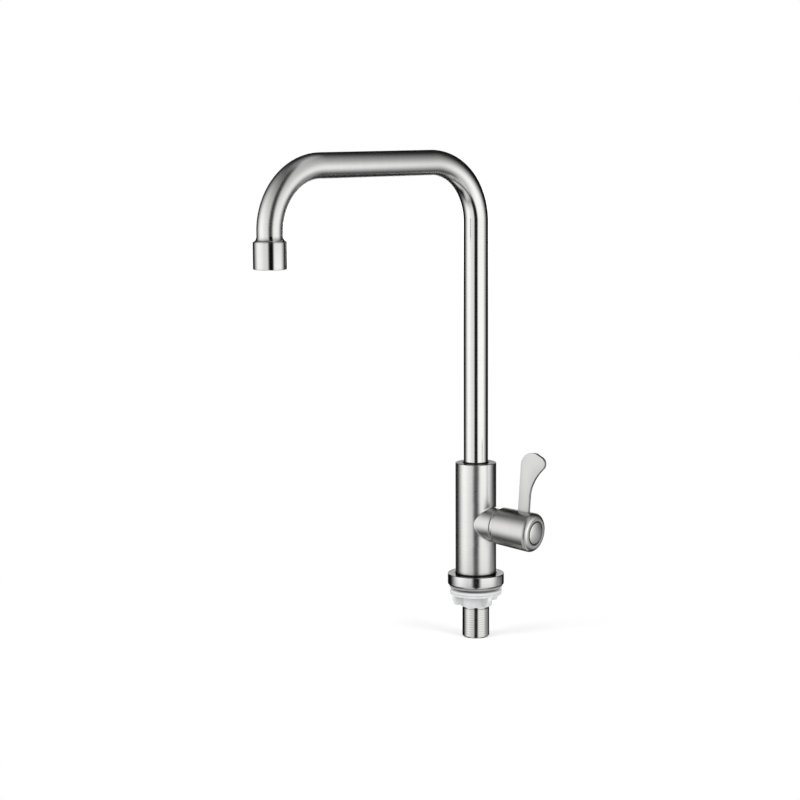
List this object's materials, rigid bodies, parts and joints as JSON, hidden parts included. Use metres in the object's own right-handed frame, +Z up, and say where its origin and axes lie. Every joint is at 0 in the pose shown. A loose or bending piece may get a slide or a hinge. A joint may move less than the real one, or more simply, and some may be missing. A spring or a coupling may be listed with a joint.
{
  "type": "kitchen faucet",
  "caption": "Deck-mounted brushed steel kitchen tap with a swivelling square-bend spout, a quarter-turn side lever, an aerator and a plastic lock nut on a threaded shank.",
  "frame": {"origin": "centre of the mounting face, the underside of the base gasket, which lies on the deck", "axes": "+Z up along the column; the valve branch leaves the column towards +X and droops 4 degrees; the spout reaches towards -Y, standing 13.4 degrees round towards -X from square to the branch"},
  "size_m": [0.1208, 0.2224, 0.3764],
  "materials": {
    "body_steel": "brushed",
    "spout_steel": "brushed",
    "shank_steel": "turned",
    "handle_steel": "satin",
    "lever_steel": "satin",
    "spring_steel": "bright",
    "brass": "turned",
    "black_rubber": "matte",
    "black_plastic": "matte",
    "white_plastic": "moulded",
    "nut_plastic": "moulded, slightly translucent",
    "ceramic": "polished"
  },
  "bodies": {
    "tap_body": {"body_column": "body_steel", "base_flange": "body_steel", "base_gasket": "black_rubber", "threaded_shank": "shank_steel", "shank_washer": "black_rubber", "cartridge_housing": "brass", "cartridge_o_ring": "black_rubber", "seat_seal": "black_rubber", "fixed_disc": "ceramic", "swivel_bush": "black_plastic", "snap_ring": "spring_steel"},
    "spout": {"spout_tube": "spout_steel", "spout_ferrule": "brass", "spout_o_rings": "black_rubber", "spout_tip": "spout_steel"},
    "aerator_core": {"aerator_washer": "black_rubber", "aerator_insert": "white_plastic", "aerator_screen": "spring_steel"},
    "aerator_ring": {"aerator_housing": "spout_steel"},
    "handle": {"cartridge_stem": "brass", "moving_disc": "ceramic", "stem_o_ring": "black_rubber", "stem_clip": "spring_steel", "handle_cap": "handle_steel", "lever": "lever_steel", "handle_screw": "spring_steel", "handle_button": "handle_steel"},
    "nut_slider": {"nut_washer": "nut_plastic"},
    "lock_nut": {"wing_nut": "nut_plastic"}
  },
  "joints": [
    {"name": "spout_swivel", "type": "hinge", "parent": "tap_body", "child": "spout", "pos_m": [0, 0, 0.0971], "axis": [0, 0, 1], "continuous": true},
    {"name": "handle_turn", "type": "hinge", "parent": "tap_body", "child": "handle", "pos_m": [0, 0, 0.0516], "axis": [0.9976, 0, -0.0698], "range_deg": [0, 90]},
    {"name": "nut_travel", "type": "slide", "parent": "tap_body", "child": "nut_slider", "axis": [0, 0, 1], "range_m": [-0.01814, 0]},
    {"name": "nut_turn", "type": "hinge", "parent": "nut_slider", "child": "lock_nut", "pos_m": [0, 0, -0.01], "axis": [0, 0, 1], "range_deg": [-3600.1, 0]},
    {"name": "aerator_travel", "type": "slide", "parent": "spout", "child": "aerator_core", "axis": [0, 0, 1], "range_m": [-0.008, 0]},
    {"name": "aerator_turn", "type": "hinge", "parent": "aerator_core", "child": "aerator_ring", "pos_m": [-0.04489, -0.18843, 0.26], "axis": [0, 0, 1], "range_deg": [-2880.1, 0]}
  ],
  "couplings": [
    {"joint": "nut_turn", "follows": "nut_travel", "rad_per_m": 3463.7},
    {"joint": "aerator_turn", "follows": "aerator_travel", "rad_per_m": 6283.2}
  ]
}
